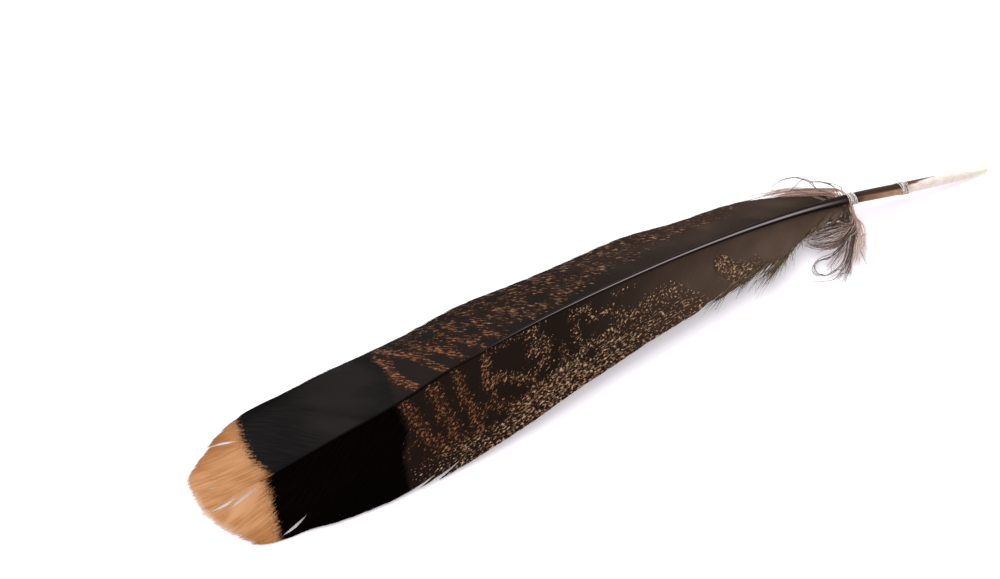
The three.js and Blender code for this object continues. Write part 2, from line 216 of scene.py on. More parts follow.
# Bars and chains of specks: half width, strength, then the line that each follows.
NEAR_BARS = [
    (2.3, 0.74, [(250.5, 2.6), (248.5, 7.1), (248.3, 13.5), (246.7, 17.2), (248.1, 19.9), (244.6, 22.7),
        (243.8, 27)]),
    (1.2, 0.6, [(253, 20.7), (257, 17.9)]),
    (1.2, 0.5, [(256.2, 25.1), (257.8, 22.4)]),
    (2.6, 0.7, [(237.4, 2.3), (237.8, 6.5), (237.6, 12), (238.5, 14.7), (236.4, 18.3), (238.2, 24.5),
        (236.7, 29.6)]),
    (2.2, 0.7, [(227.7, 1.7), (228.1, 5.9), (228.9, 10.4), (229.2, 13.5), (227.6, 16.7), (228.5, 19.3),
        (229.2, 23.7)]),
    (1.9, 0.8, [(215.6, 0.2), (216.5, 3.5), (218.8, 7), (219.6, 11.1), (215.3, 9.4), (211.3, 11.3),
        (207.3, 13.1), (204.3, 15.4)]),
    (1.5, 0.75, [(218.9, 15.1), (220.2, 17.7), (216.7, 20.1), (213.6, 21.8)]),
    (1.2, 0.6, [(222.7, 17.7), (225.5, 20.3)]),
    (2.6, 0.6, [(197.3, -0.6), (195.2, 2.2), (193.2, 4.5), (195, 6.7), (199.9, 6.1)]),
    (1.4, 0.7, [(188.5, 8.5), (189.7, 12.9), (191.3, 17.2)]),
    (1.2, 0.65, [(195.9, 8.4), (194.7, 12), (197.7, 11.1), (202.4, 13.7)]),
    (1, 0.7, [(197.3, 17.2), (197.1, 19.8)]),
    (1.4, 0.75, [(163.9, 3.3), (168.9, 1.5), (173.7, 2.4), (172.9, -1.2), (176.9, -2.6), (180.8, -2.2)]),
    (1.4, 0.7, [(175.8, 13.7), (182, 10.3), (182.3, 5.9), (180.6, 2.3)]),
    (4.4, 0.72, [(113, 7.6), (116.4, 4.6), (118.6, 1.6)]),
    (3, 0.45, [(106, 4.5), (113, 7)]),
    (2.2, 0.4, [(152, 4), (158, 8), (166, 12)]),
    (1, 0.45, [(190, -3), (200, -2.2), (212, -1.4)]),
    (1, 0.3, [(153, -3), (164, -2.6)]),
]
FAR_BARS = [
    (2.1, 0.8, [(243.7, -0.5), (247.4, -6), (248.2, -11.4), (247.1, -14.7), (250.7, -19.8)]),
    (1.9, 0.75, [(231.1, -1.8), (234.8, -7.3), (237.6, -11.9), (242.2, -16.8), (248.5, -23.6)]),
    (1.7, 0.7, [(222.4, -2.4), (226.1, -7.9), (230.7, -12.6), (234.3, -17.5), (237.8, -22.9)]),
    (1.7, 0.65, [(213.7, -3), (218.4, -8.6), (223.8, -15.7), (226.5, -18.3)]),
    (1.3, 0.7, [(219, -15.4), (222.4, -21.7)]),
    (1.9, 0.55, [(206, -4.7), (210.6, -10.3), (212.1, -17.3)]),
    (1.6, 0.65, [(198.9, -12), (204.2, -19.2)]),
    (1.6, 0.65, [(191.4, -21.2), (195.7, -16.5)]),
    (2.6, 0.45, [(175.5, -14.7), (178.6, -12.4), (183.6, -9.2), (193.4, -8.4)]),
    (3, 0.4, [(147.1, -15.6), (155.5, -19.2), (152.7, -26.6)]),
    (2.4, 0.4, [(155.5, -19.2), (163.6, -16.9), (175.5, -14.7)]),
]

# The mottled margin of each vane: x, how far it reaches in from the edge, and its strength.
NEAR_MARGIN = [
    (128, 0, 0), (133, 7, 0.46), (139, 14, 0.5), (154, 15, 0.52), (168, 13, 0.62), (185, 11, 0.72),
    (200, 11, 0.72), (215, 10, 0.68), (232, 9, 0.56), (243, 12, 0.42), (256, 8, 0.25), (259, 0, 0),
]
FAR_MARGIN = [
    (96, 0, 0), (104, 6, 0.34), (125, 8, 0.42), (145, 11, 0.42), (165, 16, 0.5), (190, 20, 0.5),
    (215, 21, 0.42), (236, 16, 0.36), (246, 9, 0.2), (252, 0, 0),
]

# Dark blotches that the mottling leaves out: middle x and y, half length and half width.
NEAR_BLOTCHES = [
    (156.1, 2.4, 3.5, 2.2), (163.2, 11.1, 3.2, 1.6), (171.5, 5.9, 3.6, 2.4),
    (180.7, 14.6, 2.6, 1.5), (186.2, 5.9, 3.4, 3.6), (196.5, 14.6, 3, 1.4), (210, 17.1, 4.4, 2),
    (221.4, 23, 5, 1.4), (215.9, 16, 2, 1.6), (205.7, 7.4, 5.5, 4),
]
FAR_BLOTCHES = [
    (170, -21, 3, 2), (187, -14, 4, 2), (199, -24, 4, 1.2), (214, -13, 3, 2), (231, -20, 2.5, 2),
]

# The black band: where it starts on each side of the shaft, and the line where the tan tip begins.
BAND_START = [(-25, 252), (-10, 250.5), (2, 252), (14, 252.5), (24, 258.5), (35, 261)]
TAN_START = [
    (-21, 303.6), (-19, 304.2), (-10.7, 305.2), (-0.3, 305.2), (7.1, 302.3), (9.6, 304),
    (16.2, 304.4), (22.1, 306.1), (27.6, 306.8), (32, 308),
]

# Barbs: number, rings along each, half width as a share of the gap beside it, the limits of that
# half width, and how far the ridge lies over the middle line and the sides below it.
BARBS_PER_VANE = 720
BARB_RINGS = 22
BARB_OVERLAP = 0.62
BARB_LIMITS = (0.1, 0.55)
BARB_RIDGE = 0.035
BARB_DROP = 0.05

# Vanes: width of a lock, how the vane bends down, how low its surface comes, how far the barbs'
# middle lines lie below that, and the least height over the floor.
LOCK_WIDTH = 8.4
VANE_DROOP_POWER = 1.3
LOWEST_TOP = 0.8
SURFACE_SINK = 0.12
VANE_CLEARANCE = 0.04

# Strays go half as far up and down as sideways.
STRAY_SHARES = (1, 1, 0.5)

# Down: strands that bend together, the barbules, the hairs, and the least height over the floor.
STRANDS_PER_LOCK = 4
BARBULE_LENGTH = 0.6
BARBULE_SPACING = 1.1
BARBULE_RADIUS = 0.022
HAIR_THICKNESS = 0.12
DOWN_CLEARANCE = 0.05

# The shaft's mesh, and where its painted highlight line runs, in degrees from the far side upward.
SHAFT_RINGS = 320
SHAFT_SIDES = 24
SHAFT_LIFT = 0.04
PAINTED_HIGHLIGHT_ANGLE = 127

# Thread wraps: layers that cross, half the winding's width, and the thread.
WRAP_LAYERS = 3
WRAP_HALF_WIDTH = 1.7
THREAD_RADIUS = 0.13
THREAD_SIDES = 6
POINTS_PER_TURN = 26

# The photo's camera: its place in metres, the ways it looks (55 degrees down) and has to its
# right, and its lens in millimetres.
CAMERA_PLACE = (0.20471, 0.33339, 0.58096)
CAMERA_LOOKING = (-0.24602, -0.51814, -0.81915)
CAMERA_RIGHT = (-0.90334, 0.42892, 0.0)
CAMERA_LENS = 68.4


def to_scene(points):
    """Turns points of the feather's own frame, in millimetres, into the shared frame in metres."""
    moved = np.asarray(points, float) - (LENGTH / 2, FOOTPRINT_MIDDLE_Y, 0)
    return moved * MILLIMETRE


def colour(red, green, blue):
    """A screen's red, green and blue from 0 to 255 as the linear colour that shaders use."""
    screen = np.array([red, green, blue]) / 255
    linear = np.where(screen <= 0.04045, screen / 12.92, ((screen + 0.055) / 1.055) ** 2.4)
    return (*map(float, linear), 1.0)


def smooth(value, low, high):
    """0 below low, 1 above high, and a smooth rise between."""
    t = np.clip((value - low) / (high - low), 0, 1)
    return t * t * (3 - 2 * t)


def hermite(start, leave, end, arrive, t):
    """The cubic that starts and ends at two values with the slopes given."""
    rise = t * t * (3 - 2 * t)
    return start * (1 - rise) + end * rise + leave * t * (1 - t) ** 2 - arrive * t * t * (1 - t)


def follow(rows, place):
    """A smooth curve through rows of numbers, at one or many places. The first column is the place."""
    rows = np.asarray(rows, float)
    place = np.asarray(place, float)
    last = len(rows) - 1
    i = np.searchsorted(rows[1:-1, 0], place, side="left")
    before = rows[np.maximum(i - 1, 0)]
    start = rows[i]
    end = rows[i + 1]
    after = rows[np.minimum(i + 2, last)]
    span = end[..., :1] - start[..., :1]
    t = np.clip((place[..., None] - start[..., :1]) / span, 0, 1)
    leave = (end - before) / (end[..., :1] - before[..., :1]) * span
    arrive = (after - start) / (after[..., :1] - start[..., :1]) * span
    return hermite(start, leave, end, arrive, t)


def unit(vectors):
    """The same directions with length 1."""
    return vectors / np.maximum(np.linalg.norm(vectors, axis=-1, keepdims=True), 1e-9)


def vane_surface(barbs, root, along):
    """Points of a vane's upper surface, from the shaft at along = 0 to the edge at along = 1."""
    root, along = np.broadcast_arrays(root, along)
    start = follow(SHAFT, root)
    guide = follow(barbs, root)
    end_x, end_y, end_z = guide[..., 1], guide[..., 2], guide[..., 3]
    chord = np.hypot(end_x - start[..., 0], end_y - start[..., 1])
    leave = np.radians(guide[..., 4])
    arrive = np.radians(guide[..., 5])
    x = hermite(start[..., 0], chord * np.cos(leave), end_x, chord * np.cos(arrive), along)
    y = hermite(start[..., 1], chord * np.sin(leave), end_y, chord * np.sin(arrive), along)
    z = start[..., 2] + (end_z - start[..., 2]) * np.clip(along, 0, None) ** VANE_DROOP_POWER
    return np.stack([x, y, np.maximum(z, LOWEST_TOP)], axis=-1)


def edge_walk(barbs, roots):
    """How far along a vane's edge each barb ends."""
    ends = follow(barbs, roots)[:, 1:3]
    steps = np.linalg.norm(np.diff(ends, axis=0), axis=1)
    return np.concatenate([[0], np.cumsum(steps)])


def barb_roots(barbs):
    """Where the barbs leave the shaft, spaced evenly by the mean of the steps at shaft and edge."""
    dense = np.linspace(barbs[0][0], barbs[-1][0], 3000)
    walked = 0.5 * (dense - dense[0]) + 0.5 * edge_walk(barbs, dense)
    return np.interp(np.linspace(0, walked[-1], BARBS_PER_VANE), walked, dense)


def open_slits(points):
    """Parts whole barbs to both sides of each slit. A slit follows the barb nearest its middle."""
    opened = points.copy()
    plan = points[..., :2]
    for middle, length, opening, runs_out in SLITS:
        gap = np.linalg.norm(plan - middle, axis=-1)
        barb, ring = np.unravel_index(np.argmin(gap), gap.shape)
        if gap[barb, ring] > 3 or barb + 6 >= len(points):
            continue
        forward = unit(np.gradient(plan[barb], axis=0))[ring]
        sideways = np.array([-forward[1], forward[0]])
        if (plan[barb + 6, ring] - plan[barb, ring]) @ sideways < 0:
            sideways = -sideways
        place = (plan - middle) @ forward / length + 0.5
        aside = np.abs((plan - middle) @ sideways)
        if runs_out:
            lens = np.clip(place, 0, 1.3) ** 1.3 * (1 - smooth(place, 1.3, 1.8))
        else:
            lens = np.clip(4 * place * (1 - place), 0, 1) ** 0.8
        barb_side = np.sign(np.arange(len(points)) - barb - 0.5)[:, None]
        push = barb_side * lens * opening / 2 * np.exp(-aside / (1.5 + opening))
        opened[..., :2] += push[..., None] * sideways
    return opened


def edge_change(steps, x):
    """How much shorter the steps in the edge make the barbs that end at x."""
    change = np.zeros_like(x)
    for start, end, first, last in steps:
        t = (x - start) / (end - start)
        change += np.where((t >= 0) & (t < 1), first + (last - first) * t, 0)
    return change


def vane_locks(barbs, notches, roots, walked, near, rng):
    """How far each barb is cut back beside its lock, and how far it leans to the lock's middle."""
    locks = round(walked[-1] / LOCK_WIDTH)
    in_locks = walked / walked[-1] * locks
    nearest = np.round(in_locks).astype(int)
    from_line = in_locks - nearest
    depth_change = rng.uniform(0.5, 1.5, locks + 1)
    depth = follow(notches, follow(barbs, roots)[:, 1])[:, 1] * depth_change[nearest]
    cut = depth * np.clip(1 - 3 * np.abs(from_line), 0, 1)
    lean = np.clip(depth / 3, 0.1, 0.8) * -from_line * (1 - 2 * np.abs(from_line)) * (1.0 if near else 0.3)
    lock_step = (roots[-1] - roots[0]) / locks
    return cut, lean * lock_step


def edge_fray(x, near, rng):
    """How far single barbs that end at x reach past the edge, or stay short of it below 0."""
    # The edge is crisp on the far side, softer on the near side and a little ragged round the tip.
    ragged = 0.08 + 0.22 * near + 0.22 * smooth(x, 303, 314)
    # The near side is most ragged at the foot.
    ragged = ragged + (0.25 * smooth(-x, -106, -100) + 0.5 * smooth(-x, -94, -84)) * near
    return (rng.normal(0, 1, len(x)) - np.abs(rng.normal(0, 1, len(x)))) * ragged


def barb_drift(roots, near, rng):
    """How loosely each barb lies, and how far its end strays, in sixes and on its own."""
    loose = smooth(-roots, -75, -64) * (0.4 if near else 0.04)
    sixes = np.repeat(rng.normal(0, 1, (len(roots) // 6 + 1, 3)), 6, axis=0)[: len(roots)]
    own = rng.normal(0, 1, (len(roots), 3))
    stray = 0.05 if near else 0.02
    return loose, (sixes * 1.1 + own * 0.8) * (stray + loose[:, None]) * STRAY_SHARES


def vane_points(barbs, notches, steps, side, rng):
    """The middle line of every barb of one vane, with its locks, its fray and its slits."""
    near = side == NEAR_SIDE
    roots = barb_roots(barbs)
    walked = edge_walk(barbs, roots)
    ends = follow(barbs, roots)[:, 1:3]
    chord = np.hypot(ends[:, 0] - roots, ends[:, 1] - follow(SHAFT, roots)[:, 1])
    cut, lean = vane_locks(barbs, notches, roots, walked, near, rng)
    cut = cut + edge_change(steps, ends[:, 0]) - edge_fray(ends[:, 0], near, rng)
    reach = 1 - np.clip(cut / chord, -0.25, 0.6)

    rings = np.concatenate([[0, 0.008], np.linspace(0.04, 1, BARB_RINGS - 2)])
    along = rings * reach[:, None]
    loose, drift = barb_drift(roots, near, rng)
    ripple = np.sin(walked / 5.3 + side) * 0.12 + np.sin(walked / 11.7 + 2) * 0.2

    def barb_points(places):
        own_root = roots[:, None] + lean[:, None] * places**4
        points = vane_surface(barbs, own_root, places) + drift[:, None, :] * (places**2)[..., None]
        points[..., 2] += ripple[:, None] * smooth(places, 0.2, 1.0)
        return points

    gaps = barb_spacing(barb_points(np.broadcast_to(rings, along.shape)))
    spacing = np.stack([np.interp(places, rings, row) for places, row in zip(along, gaps)])
    return open_slits(barb_points(along)), along, loose, chord, spacing


def barb_spacing(points):
    """The wider of the two gaps beside each barb, square to the barbs."""
    forward = unit(np.gradient(points, axis=1))[:-1]
    step = np.diff(points, axis=0)
    gap = np.linalg.norm(step - forward * np.sum(step * forward, -1, keepdims=True), axis=-1)
    return np.maximum(np.concatenate([gap[:1], gap]), np.concatenate([gap, gap[-1:]]))


def barb_tape(points, loose, spacing):
    """Half widths, side directions and normals for every ring of every barb."""
    forward = unit(np.gradient(points, axis=1))
    up = unit(np.array([0.0, 0.0, 1.0]) - forward * forward[..., 2:3])
    sideways = np.cross(forward, up)
    taper = 1 - 0.9 * smooth(np.linspace(0, 1, points.shape[1]), 0.94, 1.0)
    half = np.clip(spacing * BARB_OVERLAP, *BARB_LIMITS) * taper * (1 - 0.5 * loose[:, None])
    return half, sideways, up


def barb_faces(rings):
    """One barb's faces, the place of their corners in its strip of the bake map, and which are below."""
    last = 3 * (rings - 2) + 1

    def corner(ring, column):
        if ring == 0:
            return 0
        if ring == rings - 1:
            return last
        return 1 + 3 * (ring - 1) + column % 3

    faces, maps, under = [], [], []
    strips = [(0, 0.0, 0.5, False), (1, 0.5, 1.0, False), (2, 0.0, 1.0, True)]
    for ring in range(rings - 1):
        low = ring / (rings - 1)
        high = (ring + 1) / (rings - 1)
        for column, u_from, u_to, below in strips:
            middle = (u_from + u_to) / 2
            a = (corner(ring, column), u_from, low)
            b = (corner(ring, column + 1), u_to, low)
            c = (corner(ring + 1, column + 1), u_to, high)
            d = (corner(ring + 1, column), u_from, high)
            if ring == 0:
                face = [(0, middle, low), c, d]
            elif ring == rings - 2:
                face = [a, b, (last, middle, high)]
            else:
                face = [a, b, c, d]
            faces.append([k[0] for k in face])
            maps.append([(k[1], k[2]) for k in face])
            under.append(below)
    return faces, maps, under


def barb_mesh(points, half, sideways, up):
    """Closed three-sided barbs as vertices, faces, a bake map, and the barb and ring of each vertex."""
    barbs, rings = points.shape[:2]
    inner = slice(1, rings - 1)
    centre = points[:, inner]
    wide = sideways[:, inner] * half[:, inner, None]
    left = centre - wide - up[:, inner] * BARB_DROP
    ridge = centre + up[:, inner] * BARB_RIDGE
    right = centre + wide - up[:, inner] * BARB_DROP
    body = np.stack([left, ridge, right], axis=2).reshape(barbs, -1, 3)
    vertices = np.concatenate([points[:, :1], body, points[:, -1:]], axis=1)
    per_barb = vertices.shape[1]
    ring_of = np.concatenate([[0], np.repeat(np.arange(1, rings - 1), 3), [rings - 1]])

    # The upper sides fill three rows of the bake map, and the undersides fill the fourth.
    faces, maps, under = barb_faces(rings)
    per_row = barbs // 3
    margin = 0.004
    all_faces, all_maps = [], []
    for barb in range(barbs):
        first = barb * per_barb
        for face, uv, below in zip(faces, maps, under):
            all_faces.append([first + k for k in face])
            row, column, columns = (3, barb, barbs) if below else (*divmod(barb, per_row), per_row)
            for u, v in uv:
                all_maps.append(((column + u) / columns, (row + margin + v * (1 - 2 * margin)) / 4))
    owners = np.repeat(np.arange(barbs), per_barb), np.tile(ring_of, barbs)
    return vertices.reshape(-1, 3), all_faces, all_maps, np.tile(under, barbs), owners


def add_object(name, data):
    """A new object of the scene."""
    added = bpy.data.objects.new(name, data)
    bpy.context.scene.collection.objects.link(added)
    return added


def make_piece(name, node, material, vertices, faces, numbers, below=None, maps=None, soft=False):
    """A piece made of millimetre points in place of a node, with named numbers on its vertices."""
    mesh = bpy.data.meshes.new(name)
    mesh.from_pydata(to_scene(vertices).tolist(), [], faces)
    for title, data in numbers.items():
        layer = mesh.attributes.new(title, "FLOAT", "POINT")
        layer.data.foreach_set("value", np.asarray(data, np.float32))
    if below is not None:
        layer = mesh.attributes.new("underside", "FLOAT", "FACE")
        layer.data.foreach_set("value", np.asarray(below, np.float32))
    if maps is not None:
        layer = mesh.uv_layers.new(name="OFBake")
        layer.data.foreach_set("uv", np.asarray(maps, np.float32).ravel())
    mesh.polygons.foreach_set("use_smooth", [soft] * len(mesh.polygons))
    mesh.update()
    mesh.materials.append(material)
    piece = add_object(name, mesh)
    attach(piece, "root")
    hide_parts(node)


def distance_to_line(plan, line):
    """The distance from plan points to a line through several points."""
    nearest = np.full(plan.shape[:-1], 1e9)
    for start, end in zip(line[:-1], line[1:]):
        start = np.array(start)
        step = np.array(end) - start
        t = np.clip(((plan - start) @ step) / (step @ step), 0, 1)
        gap = np.linalg.norm(plan - start - t[..., None] * step, axis=-1)
        nearest = np.minimum(nearest, gap)
    return nearest


def speck_density(plan, depth, bars, margin, blotches):
    """How thickly specks stand at each plan point, from 0 to 1. depth is the distance to the edge."""
    x = plan[..., 0]
    stations, reach, strength = np.array(margin).T
    margin_depth = np.interp(x, stations, reach)
    density = np.interp(x, stations, strength) * smooth(margin_depth - depth, -2.0, 2.0)
    for middle_x, middle_y, half_length, half_width in blotches:
        away = np.hypot((x - middle_x) / half_length, (plan[..., 1] - middle_y) / half_width)
        density = density * smooth(away, 0.75, 1.2)
    for half_width, strength, line in bars:
        gap = distance_to_line(plan, line)
        density = np.maximum(density, strength * smooth(half_width + 0.6 - gap, 0, 1.6))
    return density


class Shader:
    """A material's nodes, with short ways to add and join them."""

    def __init__(self, name):
        self.material = bpy.data.materials.new(name)
        self.material.use_nodes = True
        self.nodes = self.material.node_tree.nodes
        self.links = self.material.node_tree.links
        self.surface = self.nodes["Principled BSDF"]

    def put(self, socket, value):
        """Fills a socket. Text names a number of the vertices, and three numbers are a colour."""
        if isinstance(value, str):
            value = self.number(value)
        if isinstance(value, bpy.types.NodeSocket):
            self.links.new(value, socket)
        else:
            socket.default_value = colour(*value) if isinstance(value, tuple) else value

    def finish(self, tone, roughness, shine):
        """Fills the surface and gives back the material."""
        self.put(self.surface.inputs["Base Color"], tone)
        self.put(self.surface.inputs["Roughness"], roughness)
        self.put(self.surface.inputs["Specular IOR Level"], shine)
        return self.material

    def number(self, title):
        node = self.nodes.new("ShaderNodeAttribute")
        node.attribute_name = title
        return node.outputs["Fac"]

    def math(self, operation, a, b):
        node = self.nodes.new("ShaderNodeMath")
        node.operation = operation
        self.put(node.inputs[0], a)
        self.put(node.inputs[1], b)
        return node.outputs[0]

    def plus(self, a, b):
        return self.math("ADD", a, b)

    def minus(self, a, b):
        return self.math("SUBTRACT", a, b)

    def times(self, a, b):
        return self.math("MULTIPLY", a, b)

    def rise(self, value, low, high):
        """0 at low, 1 at high, and a smooth rise between."""
        node = self.nodes.new("ShaderNodeMapRange")
        node.interpolation_type = "SMOOTHSTEP"
        self.put(node.inputs["Value"], value)
        self.put(node.inputs["From Min"], low)
        self.put(node.inputs["From Max"], high)
        return node.outputs[0]

    def blend(self, amount, a, b):
        node = self.nodes.new("ShaderNodeMix")
        node.data_type = "RGBA"
        self.put(node.inputs[0], amount)
        self.put(node.inputs[6], a)
        self.put(node.inputs[7], b)
        return node.outputs[2]

    def grain(self, x, y, angle, length, width, seed, detail):
        """Noise drawn out along a direction, with a grain of about the length and width given."""
        along_x = float(np.cos(np.radians(angle)))
        along_y = float(np.sin(np.radians(angle)))
        along = self.plus(self.times(x, along_x), self.times(y, along_y))
        across = self.minus(self.times(y, along_x), self.times(x, along_y))
        return self.noise(self.times(along, 1 / length), self.times(across, 1 / width), seed, detail)

    def noise(self, x, y, z, detail):
        """Soft noise between 0 and 1 whose grain is about one unit of x, y and z."""
        place = self.nodes.new("ShaderNodeCombineXYZ")
        for socket, value in zip(place.inputs, (x, y, z)):
            self.put(socket, value)
        node = self.nodes.new("ShaderNodeTexNoise")
        self.links.new(place.outputs[0], node.inputs["Vector"])
        node.inputs["Scale"].default_value = 1.0
        node.inputs["Detail"].default_value = detail
        return node.outputs["Fac"]


def vane_ground(s, near, cloud, lines):
    """The brown ground, darker toward the band and warm grey toward the foot, with painted shade beside
    the shaft.
    """
    dark = (31, 23, 19) if near else (32, 26, 23)
    pale = (86, 70, 60) if near else (62, 50, 43)
    # The paleness number also holds painted shade close to the shaft.
    ground = s.blend("paleness_with_shaft_shade", dark, pale)
    haze = s.times(s.rise(cloud, 0.35, 0.75), s.times("paleness_with_shaft_shade", 0.13))
    ground = s.blend(haze, ground, (136, 116, 100))
    return s.blend(s.rise(lines, 0.5, 0.8), ground, s.blend(0.2, ground, (16, 12, 10)))


def speck_colour(s, near, x, y, turn):
    """Tan or reddish brown toward the band and beige toward the foot, each speck brighter or dimmer."""
    glint = s.rise(s.grain(x, y, turn, 1.6, 0.9, 21, 2), 0.4, 0.68)
    warm_bright = (148, 96, 61) if near else (152, 100, 70)
    warm = s.blend(glint, (70, 44, 30), warm_bright)
    cool_bright = (192, 162, 130) if near else (140, 110, 84)
    cool_dim = (78, 58, 45) if near else (76, 55, 45)
    cool = s.blend(glint, cool_dim, cool_bright)
    speck = s.blend("warmth", cool, warm)
    reddish = s.rise(s.grain(x, y, turn, 2.5, 1.5, 33, 1), 0.55, 0.68)
    return s.blend(s.times(reddish, 0.5), speck, (122, 66, 52))


def add_specks(s, near, x, y, turn, ground):
    """Specks on the ground: short dashes along the barbs, in chains and clumps."""
    edge_turn = 12.0 if near else -20.0
    inner = s.grain(x, y, turn, 1.25 if near else 2.7, 0.48, 0, 1)
    outer = s.grain(x, y, edge_turn, 1.5 if near else 2.9, 0.48, 40, 1)
    dash = s.plus(inner, s.times("near_edge", s.minus(outer, inner)))
    if near:
        clump = s.grain(x, y, turn, 3.4, 2.2, 17, 1)
        low_clump, clump_rise = 0.2, 1.5
    else:
        clump = s.grain(x, y, -51, 13, 3, 17, 1)
        low_clump, clump_rise = -0.35, 2.6
    density = s.number("speckle")
    clumped = s.times(density, s.plus(low_clump, s.times(clump, clump_rise)))
    level = s.minus(0.67, s.times(clumped, 0.265))
    specks = s.times(s.rise(dash, level, s.plus(level, 0.07)), s.rise(density, 0.02, 0.12))
    ground = s.blend(s.times(s.rise(density, 0.1, 0.6), 0.5), ground, (44, 27, 20))
    return s.blend(specks, ground, speck_colour(s, near, x, y, turn))


def add_band(s, near, cloud, lines, shift, pattern):
    """The black band, lighter on the far side, with a faint lighter patch there; both are painted sheen.
    """
    in_band = s.rise(s.plus("past_band_start", shift), -2, 1)
    # The far side's lighter black and soot, and the lighter patch on top, are painted sheen.
    black = (5, 2, 2) if near else (14, 11, 11)
    soot = (7, 5, 4) if near else (24, 21, 21)
    band = s.blend(s.rise(lines, 0.4, 0.7), black, soot)
    gloss = s.times("gloss", s.rise(cloud, 0.2, 0.6))
    band = s.blend(gloss, band, (32, 29, 28))
    return s.blend(in_band, pattern, band)


def add_tan_tip(s, near, streak, cloud, mottle, shift, pattern):
    """The tan tip, faintly streaked along the barbs, paled at the ends by painted light shining through
    them, and smudged where it begins.
    """
    past_tan = s.plus("past_tan_start", shift)
    tan = s.blend(s.rise(streak, 0.3, 0.75), (162, 111, 69), (190, 140, 98))
    tan = s.blend(s.times(s.rise(cloud, 0.4, 0.7), 0.9 if near else 0.3), tan, (202, 154, 113))
    tan = s.blend(s.times("tip_shade", 0.7), tan, (150, 98, 54))
    # Painted light shining through the thin barb ends pales them.
    tan = s.blend(s.times("tip_painted_glow", 0.75), tan, (240, 218, 196))
    smudge = s.times(s.rise(past_tan, 4.4, 0), s.rise(mottle, 0.40, 0.58))
    tan = s.blend(s.times(smudge, 0.75), tan, (108, 80, 58))
    flecked = s.plus(past_tan, s.times(s.minus(mottle, 0.5), 5))
    return s.blend(s.rise(flecked, -1.1, 1.1), pattern, tan)


def vane_material(name, side):
    """Brown ground with rows of specks, a black band and a tan tip, along the barbs."""
    s = Shader(name)
    near = side == NEAR_SIDE
    turn = 32.0 if near else -34.0
    x = s.number("plan_x")
    y = s.number("plan_y")
    across = s.number("across_barbs")
    reach = s.number("reach")
    cloud = s.grain(x, y, turn, 22, 8, 3, 1)
    lines = s.noise(s.times(across, 1.6), s.times(reach, 0.09), 9, 1)
    streak = s.grain(x, y, 14 if near else -2, 11, 0.8, 7, 2)
    mottle = s.noise(s.times(across, 1.8), s.times(reach, 1.1), 2, 1)
    # The band's two borders are ragged from barb to barb.
    ragged = s.noise(s.times(across, 3), s.times(reach, 0.3), 5, 3)
    shift = s.times(s.minus(ragged, 0.5), 6.5)

    pattern = add_specks(s, near, x, y, turn, vane_ground(s, near, cloud, lines))
    pattern = add_band(s, near, cloud, lines, shift, pattern)
    pattern = add_tan_tip(s, near, streak, cloud, mottle, shift, pattern)
    under = s.blend(0.35, pattern, (120, 108, 98))
    return s.finish(s.blend("underside", pattern, under), 0.55, 0 if near else 0.05)


def make_vane(name, barbs, notches, steps, side, bars, margin, blotches, seed):
    """One vane as closed barbs side by side, painted by place."""
    rng = np.random.default_rng(seed)
    points, along, loose, chord, spacing = vane_points(barbs, notches, steps, side, rng)
    points[..., 2] -= SURFACE_SINK
    half, sideways, up = barb_tape(points, loose, spacing)
    vertices, faces, maps, under, owners = barb_mesh(points, half, sideways, up)
    vertices[:, 2] = np.maximum(vertices[:, 2], VANE_CLEARANCE)

    plan = points[..., :2]
    x, y = plan[..., 0], plan[..., 1]
    edge = follow(barbs, np.linspace(barbs[0][0], barbs[-1][0], 400))[:, 1:3]
    depth = np.abs(np.interp(x, edge[:, 0], edge[:, 1]) - y)
    density = speck_density(plan, depth, bars, margin, blotches)
    band_y, band_x = np.array(BAND_START).T
    tan_y, tan_x = np.array(TAN_START).T
    numbers = {
        "across_barbs": np.arange(len(points))[:, None] * 0.47 + np.zeros_like(x),
        "reach": along * chord[:, None],
        "plan_x": x,
        "plan_y": y,
        "near_edge": smooth(-depth, -11, -6),
        "speckle": density,
        "warmth": smooth(x, 175, 236) * smooth(depth, 3, 10),
        # Paler toward the foot; the darkening close to the shaft is painted shade.
        "paleness_with_shaft_shade": smooth(-x, -192, -95) * (0.55 + 0.45 * smooth(along, 0.05, 0.5)),
        "past_band_start": x - np.interp(y, band_y, band_x),
        "past_tan_start": x - np.interp(y, tan_y, tan_x),
        # Where the far band carries its patch of painted sheen.
        "gloss": smooth(x, 248, 258) * smooth(-x, -290, -276) * (side == FAR_SIDE),
        "tip_shade": np.maximum(smooth(-y, 1, 13), smooth(y, 22, 27) * 0.8) * smooth(x, 304, 316),
        # Painted light shining through the thin barb ends near the tip.
        "tip_painted_glow": smooth(along, 0.88, 1.0) * smooth(x, 306, 322) * np.exp(-(((y - 12) / 10) ** 2)),
    }
    numbers = {title: data[owners] for title, data in numbers.items()}
    material = vane_material(name + "_material", side)
    make_piece(name, "feather", material, vertices, faces, numbers, under, maps)


